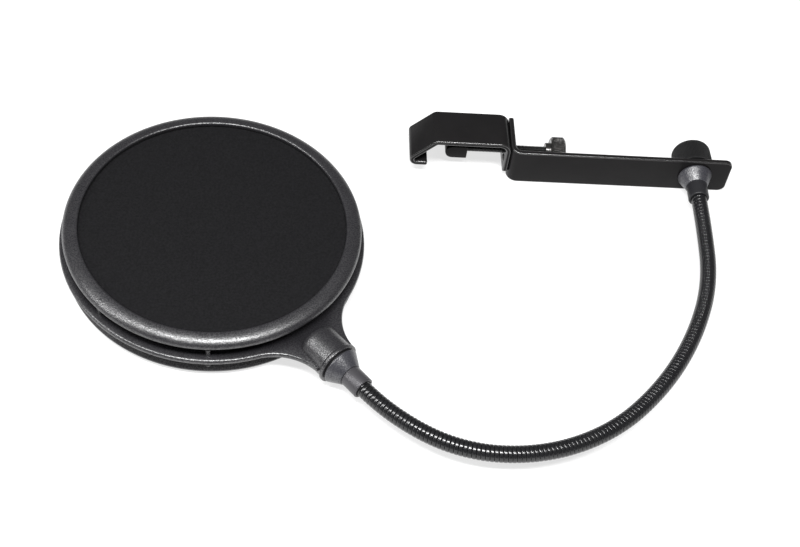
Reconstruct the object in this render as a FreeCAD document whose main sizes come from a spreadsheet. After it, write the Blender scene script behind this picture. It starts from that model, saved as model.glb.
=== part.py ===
"""Pop filter: a double-screen head on a gooseneck, with a screw clamp for a microphone stand.

The object lies on a flat surface.  Units are millimetres, +Z is up.  The origin is the centre of
the head on the surface.  +X runs along the clamp's bar and +Y points from the gooseneck's end of
the stud towards the knob.
"""
import FreeCAD, Part
import math
import os
import Sketcher
from FreeCAD import Placement, Rotation, Vector

PARTS_FOLDER = "parts"

# Every driving dimension, in millimetres or degrees: (alias, value).
DIMENSIONS = [
    # head
    ("head_thickness", 27.0),
    ("bezel_radius", 77.5),
    ("lip_radius", 69.3),
    ("screen_radius", 73.0),
    ("screen_thickness", 0.4),
    ("screen_recess", 2.6),
    ("bezel_depth", 7.0),
    ("skirt_wall", 3.9),
    ("hoop_height", 2.6),
    ("frame_radius", 79.6),
    ("frame_bore", 70.0),
    ("frame_thickness", 3.2),
    ("post_radius", 1.25),
    ("post_circle", 74.9),
    ("post_root", 1.5),
    ("post_first_angle", 40.0),
    ("post_span_angle", 280.0),
    ("post_count", 7),
    ("spigot_radius", 0.8),
    ("spigot_depth", 1.2),
    # hub and gooseneck end, measured along the hub's axis from the head's centre
    ("hub_angle", -49.0),
    ("hub_half_width", 11.5),
    ("hub_blend", 30.0),
    ("hub_start", 81.0),
    ("hub_radius", 10.7),
    ("hub_lip_radius", 11.6),
    ("hub_face", 101.0),
    ("insert_radius", 5.0),
    ("insert_length", 12.0),
    ("stud_radius", 3.0),
    ("stud_clearance", 0.05),
    ("hole_clearance", 0.05),
    ("groove_width", 0.8),
    ("groove_radius", 9.3),
    ("head_cone_radius", 10.3),
    ("head_cone_tip", 6.3),
    ("head_cone_length", 7.6),
    ("head_ferrule_radius", 5.85),
    ("ferrule_mouth", 119.8),
    # gooseneck
    ("neck_height", 12.3),
    ("neck_radius", 4.4),
    ("neck_bore", 2.9),
    ("neck_span", 38.9),
    ("ball_radius", 4.1),
    ("socket_radius", 4.6),
    ("tail_length", 6.0),
    ("ferrule_fit", 0.1),
    ("turn_1", 19.3),
    ("turn_2", 28.1),
    ("turn_3", 23.2),
    ("turn_4", 21.5),
    ("turn_5", 13.6),
    ("turn_6", 12.7),
    ("turn_7", 17.3),
    ("turn_8", 3.3),
    # clamp: x is measured from the stud's axis, y from the front of the bar, z from the surface
    ("sheet", 2.8),
    ("strip_width", 23.6),
    ("flange_x", -106.3),
    ("bar_end_x", 20.0),
    ("bar_bend", 6.0),
    ("bar_corner", 4.5),
    ("flange_reach", 28.1),
    ("flange_corner", 2.0),
    ("hook_x", -162.3),
    ("hook_top", 26.8),
    ("hook_bottom", 7.0),
    ("lip_x", -152.2),
    ("hook_bend", 4.3),
    ("hook_slope", 46.0),
    ("hook_flange_bend", 6.5),
    ("hook_flange_bottom", 4.0),
    ("bush_radius", 4.0),
    ("rivet_radius", 1.3),
    ("rivet_head_radius", 2.2),
    ("rivet_head", 0.8),
    ("rivet_offset", 6.5),
    ("stud_hole_radius", 3.2),
    # clamp screw and jaw
    ("screw_height", 11.0),
    ("screw_radius", 2.5),
    ("jaw_nose_x", -141.9),
    ("jaw_back_x", -129.5),
    ("jaw_width", 9.2),
    ("jaw_round", 4.3),
    ("jaw_bore_depth", 8.0),
    ("jaw_clearance", 0.1),
    ("collar_x", -84.9),
    ("collar_radius", 4.6),
    ("collar_length", 2.9),
    ("screw_head_radius", 8.0),
    ("screw_head_length", 8.2),
    ("screw_head_chamfer", 1.1),
    # swivel and knob, measured along the stud's axis
    ("washer_thickness", 0.5),
    ("washer_radius", 8.4),
    ("clamp_cone_radius", 9.45),
    ("clamp_cone_tip", 6.2),
    ("clamp_cone_length", 8.0),
    ("clamp_ferrule_radius", 5.8),
    ("clamp_ferrule_length", 9.2),
    ("knob_radius", 11.4),
    ("knob_far_radius", 10.9),
    ("knob_round", 4.0),
    ("knob_length", 15.6),
    ("knob_washer_thickness", 1.0),
    ("knob_insert_radius", 5.0),
    ("knob_insert_length", 9.0),
]

doc = FreeCAD.newDocument("pop_filter")
sheet = doc.addObject("Spreadsheet::Sheet", "dims")


class Size:
    """A number together with the spreadsheet formula that it comes from."""

    def __init__(self, value, formula):
        self.value = value
        self.formula = formula

    def _join(self, other, sign, value):
        return Size(value, "(%s %s %s)" % (self.formula, sign, size(other).formula))

    def __add__(self, other):
        return self._join(other, "+", self.value + size(other).value)

    def __sub__(self, other):
        return self._join(other, "-", self.value - size(other).value)

    def __mul__(self, other):
        return self._join(other, "*", self.value * size(other).value)

    def __truediv__(self, other):
        return self._join(other, "/", self.value / size(other).value)

    def __neg__(self):
        return Size(-self.value, "(0 - %s)" % self.formula)


def size(number):
    """A plain number as a Size."""
    if isinstance(number, Size):
        return number
    return Size(float(number), "(0 - %r)" % abs(number) if number < 0 else repr(number))


def sine(angle):
    return Size(math.sin(math.radians(angle.value)), "sin(%s)" % angle.formula)


def cosine(angle):
    return Size(math.cos(math.radians(angle.value)), "cos(%s)" % angle.formula)


def root(number):
    return Size(math.sqrt(number.value), "sqrt(%s)" % number.formula)


class Dimensions:
    """The spreadsheet's cells by alias, each as a Size."""

    def __init__(self):
        for row, (alias, value) in enumerate(DIMENSIONS, start=1):
            sheet.set("A%d" % row, str(value))
            sheet.setAlias("A%d" % row, alias)
            setattr(self, alias, Size(float(value), "dims." + alias))


d = Dimensions()
doc.recompute()
ZERO = size(0)
SUBPARTS = []


# --- helpers -----------------------------------------------------------------------------------

def bind(feature, **values):
    """Bind properties of a feature to their formulas."""
    for name, value in values.items():
        feature.setExpression(name, size(value).formula)


def keep(feature, label, at=(ZERO, ZERO, ZERO), turn=Rotation()):
    """Name a finished sub-part and put it in its place."""
    feature.Label = label
    base = [size(value) for value in at]
    feature.Placement = Placement(Vector(*[value.value for value in base]), turn)
    for axis, value in zip("xyz", base):
        feature.setExpression("Placement.Base." + axis, value.formula)
    SUBPARTS.append(feature)
    return feature


def new_sketch(body, name, plane, lift=ZERO):
    """An empty sketch on one of the body's own origin planes, lifted along the plane's normal."""
    sketch = body.newObject("Sketcher::SketchObject", name)
    support = [item for item in body.Origin.OriginFeatures if item.Role == plane][0]
    sketch.AttachmentSupport = [(support, "")]
    sketch.MapMode = "FlatFace"
    if lift is not ZERO:
        sketch.setExpression("AttachmentOffset.Base.z", lift.formula)
    return sketch


def fix(sketch, kind, *where_and_value):
    """Add a driving constraint whose value follows a formula."""
    *where, value = where_and_value
    index = sketch.addConstraint(Sketcher.Constraint(kind, *where, value.value))
    sketch.setExpression("Constraints[%d]" % index, value.formula)


def fix_point(sketch, edge, end, x, y):
    """Hold one end of an edge at a point measured from the sketch's origin."""
    for kind, axis, value in (("DistanceX", -2, x), ("DistanceY", -1, y)):
        if value is ZERO:
            sketch.addConstraint(Sketcher.Constraint("PointOnObject", edge, end, axis))
        else:
            fix(sketch, kind, -1, 1, edge, end, value)


def arc(x, y, radius, centre_x, centre_y, left=True):
    """An outline's corner from which an arc leads to the next corner, to the left or right."""
    return (x, y, radius, centre_x, centre_y, left)


def add_outline(sketch, corners):
    """A closed outline: straight edges, and arcs where a corner was made by arc()."""
    ends = []
    for number, corner in enumerate(corners):
        following = corners[(number + 1) % len(corners)]
        start = Vector(corner[0].value, corner[1].value)
        finish = Vector(following[0].value, following[1].value)
        if len(corner) == 2:
            edge = sketch.addGeometry(Part.LineSegment(start, finish))
            ends.append((edge, 1, 2))
            continue
        radius, left = corner[2], corner[5]
        centre = Vector(corner[3].value, corner[4].value)
        angles = [math.atan2(point.y - centre.y, point.x - centre.x) for point in (start, finish)]
        if not left:
            angles.reverse()
        circle = Part.Circle(centre, Vector(0, 0, 1), radius.value)
        edge = sketch.addGeometry(Part.ArcOfCircle(circle, angles[0], angles[1]))
        ends.append((edge, 1, 2) if left else (edge, 2, 1))
        fix(sketch, "Radius", edge, radius)
    for number, (edge, first, last) in enumerate(ends):
        next_edge, next_first, _ = ends[(number + 1) % len(ends)]
        sketch.addConstraint(Sketcher.Constraint("Coincident", edge, last, next_edge, next_first))
        fix_point(sketch, edge, first, corners[number][0], corners[number][1])


def add_circle(sketch, x, y, radius):
    """A circle with its centre and radius driven by formulas."""
    centre = Vector(x.value, y.value)
    edge = sketch.addGeometry(Part.Circle(centre, Vector(0, 0, 1), radius.value))
    fix(sketch, "Radius", edge, radius)
    if x is ZERO and y is ZERO:
        sketch.addConstraint(Sketcher.Constraint("Coincident", edge, 3, -1, 1))
    else:
        fix_point(sketch, edge, 3, x, y)


def new_body(name):
    return doc.addObject("PartDesign::Body", name + "_body")


def add_feature(body, kind, name, sketch, **values):
    """A sketch-based feature of a body, with its sizes bound to formulas."""
    feature = body.newObject("PartDesign::" + kind, name)
    feature.Profile = sketch
    bind(feature, **values)
    return feature


def revolve(body, name, corners, axis="V_Axis", plane="XZ_Plane"):
    """Turn an outline of (radius, height) corners about a sketch axis."""
    sketch = new_sketch(body, name + "_outline", plane)
    add_outline(sketch, corners)
    feature = add_feature(body, "Revolution", name, sketch)
    feature.ReferenceAxis = (sketch, [axis])
    feature.Angle = 360
    return feature


def turned(name, corners):
    """A body made on a lathe: its outline is (radius, height) and its axis is local Z."""
    body = new_body(name)
    revolve(body, name + "_turning", corners)
    return body


def cut_checked(body, feature, name):
    """Recompute, and stop if a cutting feature took nothing away."""
    doc.recompute()
    if feature.Shape.Volume >= feature.BaseFeature.Shape.Volume - 1e-6:
        raise RuntimeError(name + " removes nothing")


def pocket(body, name, circles, plane, depth, lift=ZERO, reverse=False):
    """Cut round holes: circles are (x, y, radius) in the sketch's plane."""
    sketch = new_sketch(body, name + "_holes", plane, lift)
    for circle in circles:
        add_circle(sketch, *circle)
    feature = add_feature(body, "Pocket", name, sketch, Length=depth)
    feature.Reversed = reverse
    cut_checked(body, feature, name)
    return feature


def edges_along(feature, direction, test):
    """Names of a feature's straight edges along a direction whose start passes a test."""
    names = []
    for number, edge in enumerate(feature.Shape.Edges, start=1):
        if len(edge.Vertexes) != 2 or edge.Curve.TypeId != "Part::GeomLine":
            continue
        run = edge.Vertexes[1].Point - edge.Vertexes[0].Point
        if run.cross(direction).Length < 1e-4 and test(edge.Vertexes[0].Point):
            names.append("Edge%d" % number)
    return names


def round_edges(body, feature, name, radius, direction, test):
    """Round a feature's edges along a direction."""
    doc.recompute()
    fillet = body.newObject("PartDesign::Fillet", name)
    fillet.Base = (feature, edges_along(feature, direction, test))
    bind(fillet, Radius=radius)
    return fillet


def near(first, second):
    return abs(first - second) < 1e-4


# --- places ------------------------------------------------------------------------------------

HEAD_TURN = Rotation(Vector(0, 0, 1), d.hub_angle.value)
HEAD_FLIPPED = HEAD_TURN.multiply(Rotation(Vector(1, 0, 0), 180))
HEAD_MIDDLE = (ZERO, ZERO, d.head_thickness / 2)
# Local Z laid along the hub's axis, pointing away from the head.
HUB_TURN = HEAD_TURN.multiply(Rotation(Vector(0, 1, 0), 90))
# Local Z laid along +Y, from the front of the bar to the knob.
STUD_TURN = Rotation(Vector(1, 0, 0), -90)
# Local Z laid along +X, from the jaw to the screw's head.
SCREW_TURN = Rotation(Vector(0, 1, 0), 90)
HUB_ORIGIN = (ZERO, ZERO, d.neck_height)

TURNS = [d.turn_1, d.turn_2, d.turn_3, d.turn_4, d.turn_5, d.turn_6, d.turn_7, d.turn_8]


def neck_route():
    """The gooseneck as tangent arcs from the head's ferrule: (centre, radius, heading, turn)."""
    heading = d.hub_angle
    x = cosine(heading) * d.ferrule_mouth
    y = sine(heading) * d.ferrule_mouth
    arcs = []
    for turn in TURNS:
        radius = d.neck_span / (turn * (math.pi / 180))
        centre_x = x - sine(heading) * radius
        centre_y = y + cosine(heading) * radius
        arcs.append((centre_x, centre_y, radius, heading, turn))
        heading = heading + turn
        x = centre_x + sine(heading) * radius
        y = centre_y - cosine(heading) * radius
    return arcs, x, y


NECK_ARCS, neck_end_x, neck_end_y = neck_route()
clamp_x = neck_end_x
clamp_y = neck_end_y + d.clamp_ferrule_length + d.clamp_cone_length + d.washer_thickness
screw_y = d.sheet + d.strip_width / 2
CLAMP_ORIGIN = (clamp_x, clamp_y, ZERO)
STUD_ORIGIN = (clamp_x, clamp_y, d.neck_height)
SCREW_ORIGIN = (clamp_x, clamp_y + screw_y, d.screw_height)
stud_bore = d.stud_radius + d.stud_clearance
neck_bore_in_ferrule = d.neck_radius + d.ferrule_fit


# --- head --------------------------------------------------------------------------------------

def ring_of_posts(body, label, features, sketch):
    """Repeat features at each stand-off post round the head."""
    pattern = body.newObject("PartDesign::PolarPattern", label + "_posts")
    pattern.Originals = features
    pattern.Axis = (sketch, ["N_Axis"])
    bind(pattern, Angle=d.post_span_angle, Occurrences=d.post_count)
    body.Tip = pattern


def make_bezel(label, turn):
    """A rounded ring with a skirt round the hoop, and stand-off posts that plug into the frame."""
    body = new_body(label)
    top = d.head_thickness / 2
    bottom = top - d.bezel_depth
    ledge = top - d.screen_recess
    crown = (d.bezel_radius - d.lip_radius) / 2
    lip_round = crown / 4
    inner_skirt = d.bezel_radius - d.skirt_wall
    revolve(body, label + "_ring", [
        (d.lip_radius, ledge),
        arc(d.lip_radius, top - lip_round, lip_round, d.lip_radius + lip_round, top - lip_round,
            left=False),
        (d.lip_radius + lip_round, top),
        arc(d.lip_radius + crown, top, crown, d.lip_radius + crown, top - crown, left=False),
        (d.bezel_radius, top - crown),
        (d.bezel_radius - crown / 2, bottom),
        (inner_skirt, bottom),
        (inner_skirt, ledge),
    ])
    face = d.frame_thickness / 2
    x = d.post_circle * cosine(d.post_first_angle)
    y = d.post_circle * sine(d.post_first_angle)
    post_sketch = new_sketch(body, label + "_post_section", "XY_Plane", face)
    add_circle(post_sketch, x, y, d.post_radius)
    post = add_feature(body, "Pad", label + "_post", post_sketch, Length=bottom - face + d.post_root)
    spigot_sketch = new_sketch(body, label + "_spigot_section", "XY_Plane", face - d.spigot_depth)
    add_circle(spigot_sketch, x, y, d.spigot_radius)
    spigot = add_feature(body, "Pad", label + "_spigot", spigot_sketch, Length=d.spigot_depth)
    ring_of_posts(body, label, [post, spigot], post_sketch)
    return keep(body, label, HEAD_MIDDLE, turn)


def make_screen(label, turn):
    """Woven nylon stretched flat under the bezel's ledge."""
    top = d.head_thickness / 2 - d.screen_recess
    bottom = top - d.screen_thickness
    body = turned(label, [(ZERO, bottom), (d.screen_radius, bottom), (d.screen_radius, top), (ZERO, top)])
    return keep(body, label, HEAD_MIDDLE, turn)


def make_hoop(label, turn):
    """The ring that presses a screen against its bezel."""
    top = d.head_thickness / 2 - d.screen_recess - d.screen_thickness
    bottom = top - d.hoop_height
    inner = d.lip_radius + 0.5
    body = turned(label, [(inner, bottom), (d.screen_radius, bottom), (d.screen_radius, top), (inner, top)])
    return keep(body, label, HEAD_MIDDLE, turn)


def make_centre_frame():
    """Flat ring that widens into the hub, with the boss and its socket on the gooseneck's axis."""
    label = "centre_frame"
    body = new_body(label)
    plate_middle = d.head_thickness / 2 - d.neck_height
    plate_bottom = plate_middle - d.frame_thickness / 2
    plate_top = plate_middle + d.frame_thickness / 2
    plate_end = d.hub_face - 3
    reach = d.frame_radius + d.hub_blend
    blend_y = d.hub_half_width + d.hub_blend
    blend_x = root(reach * reach - blend_y * blend_y)
    touch_x = blend_x * d.frame_radius / reach
    touch_y = blend_y * d.frame_radius / reach
    past_end = blend_x - plate_end
    side = blend_y - root(d.hub_blend * d.hub_blend - past_end * past_end)
    sketch = new_sketch(body, "frame_outline", "XY_Plane", plate_bottom)
    add_outline(sketch, [
        (plate_end, -side),
        arc(plate_end, side, d.hub_blend, blend_x, blend_y, left=False),
        arc(touch_x, touch_y, d.frame_radius, ZERO, ZERO),
        arc(touch_x, -touch_y, d.hub_blend, blend_x, -blend_y, left=False),
    ])
    add_circle(sketch, ZERO, ZERO, d.frame_bore)
    add_feature(body, "Pad", "frame_plate", sketch, Length=d.frame_thickness)
    dome = d.hub_radius / 2
    lip_start = d.hub_face - 2.2
    lip_edge = size(0.5)
    revolve(body, "hub_boss", [
        (d.hub_start, ZERO),
        arc(d.hub_start, d.hub_radius - dome, dome, d.hub_start + dome, d.hub_radius - dome, left=False),
        (d.hub_start + dome, d.hub_radius),
        (lip_start, d.hub_radius),
        (lip_start + lip_edge, d.hub_lip_radius),
        (d.hub_face - lip_edge, d.hub_lip_radius),
        (d.hub_face, d.hub_lip_radius - lip_edge),
        (d.hub_face, ZERO),
    ], axis="H_Axis")
    pocket(body, "insert_seat", [(ZERO, ZERO, d.insert_radius)], "YZ_Plane", d.insert_length + 1,
           lift=d.hub_face)
    x = d.post_circle * cosine(d.post_first_angle)
    y = d.post_circle * sine(d.post_first_angle)
    hole_radius = d.spigot_radius + d.hole_clearance
    for side, lift in (("top", plate_top), ("bottom", plate_bottom + d.spigot_depth)):
        name = "spigot_hole_" + side
        hole = pocket(body, name, [(x, y, hole_radius)], "XY_Plane", d.spigot_depth, lift=lift)
        ring_of_posts(body, name, [hole], hole.Profile[0])
    return keep(body, label, HUB_ORIGIN, HEAD_TURN)


# --- gooseneck's end at the head: heights are distances from the head's centre -------------------

def tube(label, inner, outer_start, outer_end, start, end, origin, turn):
    """A plain or tapered sleeve between two heights on an axis."""
    body = turned(label, [(inner, start), (outer_start, start), (outer_end, end), (inner, end)])
    return keep(body, label, origin, turn)


def make_head_fittings():
    """Insert, washer, cone, ferrule and stud on the hub's axis."""
    cone_start = d.hub_face + d.groove_width
    ferrule_start = cone_start + d.head_cone_length
    tail_start = d.ferrule_mouth - d.tail_length
    insert_end = d.hub_face - 0.2
    tube("hub_insert", stud_bore, d.insert_radius, d.insert_radius, insert_end - d.insert_length,
         insert_end, HUB_ORIGIN, HUB_TURN)
    tube("head_washer", stud_bore, d.groove_radius, d.groove_radius, d.hub_face, cone_start,
         HUB_ORIGIN, HUB_TURN)
    tube("head_cone", stud_bore, d.head_cone_radius, d.head_cone_tip, cone_start, ferrule_start,
         HUB_ORIGIN, HUB_TURN)
    ferrule = turned("head_ferrule", ferrule_outline(d.head_ferrule_radius, ferrule_start, tail_start,
                                                     d.ferrule_mouth))
    keep(ferrule, "head_ferrule", HUB_ORIGIN, HUB_TURN)
    stud_start = d.hub_face - d.insert_length + 1.5
    stud = turned("head_stud", rod_outline(d.stud_radius, stud_start, tail_start - 1))
    keep(stud, "head_stud", HUB_ORIGIN, HUB_TURN)


def ferrule_outline(radius, start, tail, end):
    """A sleeve with a stud's bore at one end and the gooseneck's bore at its mouth."""
    edge = size(0.4)
    shoulder = tail - 0.4
    return [
        (stud_bore, start),
        (radius, start),
        (radius, end - edge),
        (radius - edge, end),
        (neck_bore_in_ferrule, end),
        (neck_bore_in_ferrule, shoulder),
        (stud_bore, shoulder),
    ]


def rod_outline(radius, start, end, edge=size(0.4)):
    """A solid rod with chamfered ends."""
    return [
        (ZERO, start),
        (radius - edge, start),
        (radius, start + edge),
        (radius, end - edge),
        (radius - edge, end),
        (ZERO, end),
    ]


# --- gooseneck ---------------------------------------------------------------------------------

def primitive(kind, name, at=(ZERO, ZERO, ZERO), turn=Rotation(), **values):
    """A Part primitive with its sizes and place bound to formulas."""
    item = doc.addObject("Part::" + kind, name)
    bind(item, **values)
    item.Placement = Placement(Vector(*[value.value for value in at]), turn)
    for axis, value in zip("xyz", at):
        item.setExpression("Placement.Base." + axis, value.formula)
    return item


def joined(kind, name, base, tool):
    """A Part boolean of two objects: Cut or Fuse."""
    item = doc.addObject("Part::" + kind, name)
    item.Base = base
    item.Tool = tool
    return item


def make_neck_span(number, centre_x, centre_y, radius, heading, turn):
    """One hollow arc of the gooseneck, with a socket at its start and a ball at its end.

    Its own origin is the arc's centre, and it starts on local +X.
    """
    label = "neck_span_%d" % number
    start = (radius, ZERO, ZERO)
    end = (radius * cosine(turn), radius * sine(turn), ZERO)
    outer = primitive("Torus", label + "_outer", Radius1=radius, Radius2=d.neck_radius, Angle3=turn)
    inner = primitive("Torus", label + "_inner", Radius1=radius, Radius2=d.neck_bore, Angle3=turn)
    span = joined("Cut", label + "_wall", outer, inner)
    if number == 1:
        tail = primitive("Cylinder", label + "_tail", start, Rotation(Vector(1, 0, 0), 90),
                         Radius=d.neck_radius, Height=d.tail_length)
        span = joined("Fuse", label + "_with_tail", span, tail)
    else:
        socket = primitive("Sphere", label + "_socket", start, Radius=d.socket_radius)
        span = joined("Cut", label + "_with_socket", span, socket)
    if number == len(TURNS):
        along = Rotation(Vector(0, 0, 1), turn.value).multiply(Rotation(Vector(1, 0, 0), -90))
        tail = primitive("Cylinder", label + "_tail", end, along, Radius=d.neck_radius,
                         Height=d.tail_length)
        span = joined("Fuse", label + "_with_tail", span, tail)
    else:
        ball = primitive("Sphere", label + "_ball", end, Radius=d.ball_radius)
        span = joined("Fuse", label + "_with_ball", span, ball)
    facing = Rotation(Vector(0, 0, 1), heading.value - 90)
    return keep(span, label, (centre_x, centre_y, d.neck_height), facing)


# --- clamp -------------------------------------------------------------------------------------

def make_bar():
    """Flat strip on edge, with a flange bent back at its left end."""
    label = "bar"
    body = new_body(label)
    inside = d.flange_x + d.sheet
    bend_x = d.flange_x + d.bar_bend
    inner_bend = d.bar_bend - d.sheet
    sketch = new_sketch(body, "bar_outline", "XY_Plane")
    add_outline(sketch, [
        (d.flange_x, d.flange_reach),
        arc(d.flange_x, d.bar_bend, d.bar_bend, bend_x, d.bar_bend),
        (bend_x, ZERO),
        (d.bar_end_x, ZERO),
        (d.bar_end_x, d.sheet),
        arc(bend_x, d.sheet, inner_bend, bend_x, d.bar_bend, left=False),
        (inside, d.bar_bend),
        (inside, d.flange_reach),
    ])
    add_feature(body, "Pad", "bar_strip", sketch, Length=d.strip_width)
    pocket(body, "bar_stud_hole", [(ZERO, d.neck_height, d.stud_hole_radius)], "XZ_Plane", d.sheet)
    holes = pocket(body, "bar_flange_holes", flange_holes(), "YZ_Plane", d.sheet, lift=d.flange_x,
                   reverse=True)
    rounded = round_edges(body, holes, "bar_end_corners", d.bar_corner, Vector(0, 1, 0),
                          lambda point: near(point.x, d.bar_end_x.value))
    round_edges(body, rounded, "bar_flange_corners", d.flange_corner, Vector(1, 0, 0),
                lambda point: near(point.y, d.flange_reach.value))
    return keep(body, label, CLAMP_ORIGIN)


def flange_holes():
    """The bush's hole and the rivets' holes that both flanges share, as (y, z, radius)."""
    rivet_hole = d.rivet_radius + d.hole_clearance
    return [
        (screw_y, d.screw_height, d.bush_radius),
        (screw_y - d.rivet_offset, d.screw_height, rivet_hole),
        (screw_y + d.rivet_offset, d.screw_height, rivet_hole),
    ]


def make_hook():
    """Flat strip with a flange bent down at the right and a hook with a turned-in lip at the left."""
    label = "hook"
    body = new_body(label)
    inner_bend = d.hook_bend - d.sheet
    low_x = d.hook_x + d.hook_bend
    low_z = d.hook_bottom + d.hook_bend
    high_z = d.hook_top - d.hook_bend
    high_x = low_x + (high_z - low_z) * cosine(d.hook_slope) / sine(d.hook_slope)
    side_x = -sine(d.hook_slope)
    side_z = cosine(d.hook_slope)
    right_x = d.flange_x - d.hook_flange_bend
    right_z = d.hook_top - d.hook_flange_bend
    inside_x = d.flange_x - d.sheet
    under = d.hook_top - d.sheet
    sketch = new_sketch(body, "hook_outline", "XZ_Plane")
    add_outline(sketch, [
        (d.lip_x, d.hook_bottom + d.sheet),
        (d.lip_x, d.hook_bottom),
        arc(low_x, d.hook_bottom, d.hook_bend, low_x, low_z, left=False),
        (low_x + side_x * d.hook_bend, low_z + side_z * d.hook_bend),
        arc(high_x + side_x * d.hook_bend, high_z + side_z * d.hook_bend, d.hook_bend, high_x, high_z,
            left=False),
        (high_x, d.hook_top),
        arc(right_x, d.hook_top, d.hook_flange_bend, right_x, right_z, left=False),
        (d.flange_x, right_z),
        (d.flange_x, d.hook_flange_bottom),
        (inside_x, d.hook_flange_bottom),
        arc(inside_x, right_z, d.hook_flange_bend - d.sheet, right_x, right_z),
        (right_x, under),
        arc(high_x, under, inner_bend, high_x, high_z),
        (high_x + side_x * inner_bend, high_z + side_z * inner_bend),
        arc(low_x + side_x * inner_bend, low_z + side_z * inner_bend, inner_bend, low_x, low_z),
        (low_x, d.hook_bottom + d.sheet),
    ])
    strip = add_feature(body, "Pad", "hook_strip", sketch, Length=d.strip_width)
    strip.Reversed = True
    # The hook's own frame has y = 0 at its near edge, one sheet behind the front of the bar.
    holes = [(y - d.sheet, z, radius) for y, z, radius in flange_holes()]
    drilled = pocket(body, "hook_flange_holes", holes, "YZ_Plane", d.sheet, lift=d.flange_x)
    rounded = round_edges(body, drilled, "hook_flange_corners", d.flange_corner, Vector(1, 0, 0),
                          lambda point: near(point.z, d.hook_flange_bottom.value))
    round_edges(body, rounded, "hook_lip_corners", d.flange_corner / 2, Vector(0, 0, 1),
                lambda point: near(point.x, d.lip_x.value))
    return keep(body, label, (clamp_x, clamp_y + d.sheet, ZERO))


def make_flange_fasteners():
    """Two rivets and the screw's thread bush, through both flanges."""
    left = d.flange_x - d.sheet
    right = d.flange_x + d.sheet
    for label, offset in (("rivet_near", -d.rivet_offset), ("rivet_far", d.rivet_offset)):
        body = turned(label, [
            (ZERO, left - d.rivet_head),
            (d.rivet_head_radius / 2, left - d.rivet_head),
            (d.rivet_head_radius, left),
            (d.rivet_radius, left),
            (d.rivet_radius, right),
            (d.rivet_head_radius, right),
            (d.rivet_head_radius / 2, right + d.rivet_head),
            (ZERO, right + d.rivet_head),
        ])
        keep(body, label, (clamp_x, clamp_y + screw_y + offset, d.screw_height), SCREW_TURN)
    tube("thread_bush", d.screw_radius + d.stud_clearance, d.bush_radius, d.bush_radius, left, right,
         SCREW_ORIGIN, SCREW_TURN)


def make_jaw():
    """The pad on the screw's end that presses the stand into the hook."""
    label = "jaw"
    body = new_body(label)
    half = d.jaw_width / 2
    shoulder = d.jaw_nose_x + d.jaw_round
    centre = half - d.jaw_round
    sketch = new_sketch(body, "jaw_outline", "XZ_Plane", half)
    add_outline(sketch, [
        (d.jaw_back_x, -half),
        (d.jaw_back_x, half),
        arc(shoulder, half, d.jaw_round, shoulder, centre),
        (d.jaw_nose_x, centre),
        arc(d.jaw_nose_x, -centre, d.jaw_round, shoulder, -centre),
        (shoulder, -half),
    ])
    block = add_feature(body, "Pad", "jaw_block", sketch, Length=d.jaw_width)
    block.Reversed = True
    pocket(body, "jaw_bore", [(ZERO, ZERO, d.screw_radius + d.jaw_clearance)], "YZ_Plane",
           d.jaw_bore_depth, lift=d.jaw_back_x)
    return keep(body, label, SCREW_ORIGIN)


def make_clamp_screw():
    """The threaded rod and its knurled head with a collar."""
    head_start = d.collar_x + d.collar_length
    head_end = head_start + d.screw_head_length
    rod_end = head_start + d.screw_head_length / 2
    rod = turned("screw_rod", rod_outline(d.screw_radius, d.jaw_back_x - d.jaw_bore_depth + 0.2, rod_end))
    keep(rod, "screw_rod", SCREW_ORIGIN, SCREW_TURN)
    bore = d.screw_radius + d.stud_clearance
    edge = size(0.5)
    head = turned("screw_head", [
        (bore, d.collar_x),
        (d.collar_radius - edge, d.collar_x),
        (d.collar_radius, d.collar_x + edge),
        (d.collar_radius, head_start),
        (d.screw_head_radius - d.screw_head_chamfer, head_start),
        (d.screw_head_radius, head_start + d.screw_head_chamfer),
        (d.screw_head_radius, head_end - d.screw_head_chamfer),
        (d.screw_head_radius - d.screw_head_chamfer, head_end),
        (ZERO, head_end),
        (ZERO, rod_end + 0.1),
        (bore, rod_end + 0.1),
    ])
    keep(head, "screw_head", SCREW_ORIGIN, SCREW_TURN)


# --- swivel and knob: heights are distances behind the bar's front --------------------------------

def make_swivel():
    """Ferrule, cone, washer and stud that carry the gooseneck on the bar."""
    cone_end = -d.washer_thickness
    cone_start = cone_end - d.clamp_cone_length
    mouth = cone_start - d.clamp_ferrule_length
    tail_end = mouth + d.tail_length
    tube("swivel_washer", stud_bore, d.washer_radius, d.washer_radius, cone_end, ZERO, STUD_ORIGIN,
         STUD_TURN)
    tube("clamp_cone", stud_bore, d.clamp_cone_tip, d.clamp_cone_radius, cone_start, cone_end,
         STUD_ORIGIN, STUD_TURN)
    shoulder = tail_end + 0.4
    edge = size(0.4)
    ferrule = turned("clamp_ferrule", [
        (neck_bore_in_ferrule, mouth),
        (d.clamp_ferrule_radius - edge, mouth),
        (d.clamp_ferrule_radius, mouth + edge),
        (d.clamp_ferrule_radius, cone_start),
        (stud_bore, cone_start),
        (stud_bore, shoulder),
        (neck_bore_in_ferrule, shoulder),
    ])
    keep(ferrule, "clamp_ferrule", STUD_ORIGIN, STUD_TURN)
    stud_end = d.sheet + d.knob_washer_thickness + d.knob_insert_length
    stud = turned("clamp_stud", rod_outline(d.stud_radius, shoulder + 0.3, stud_end))
    keep(stud, "clamp_stud", STUD_ORIGIN, STUD_TURN)


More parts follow.
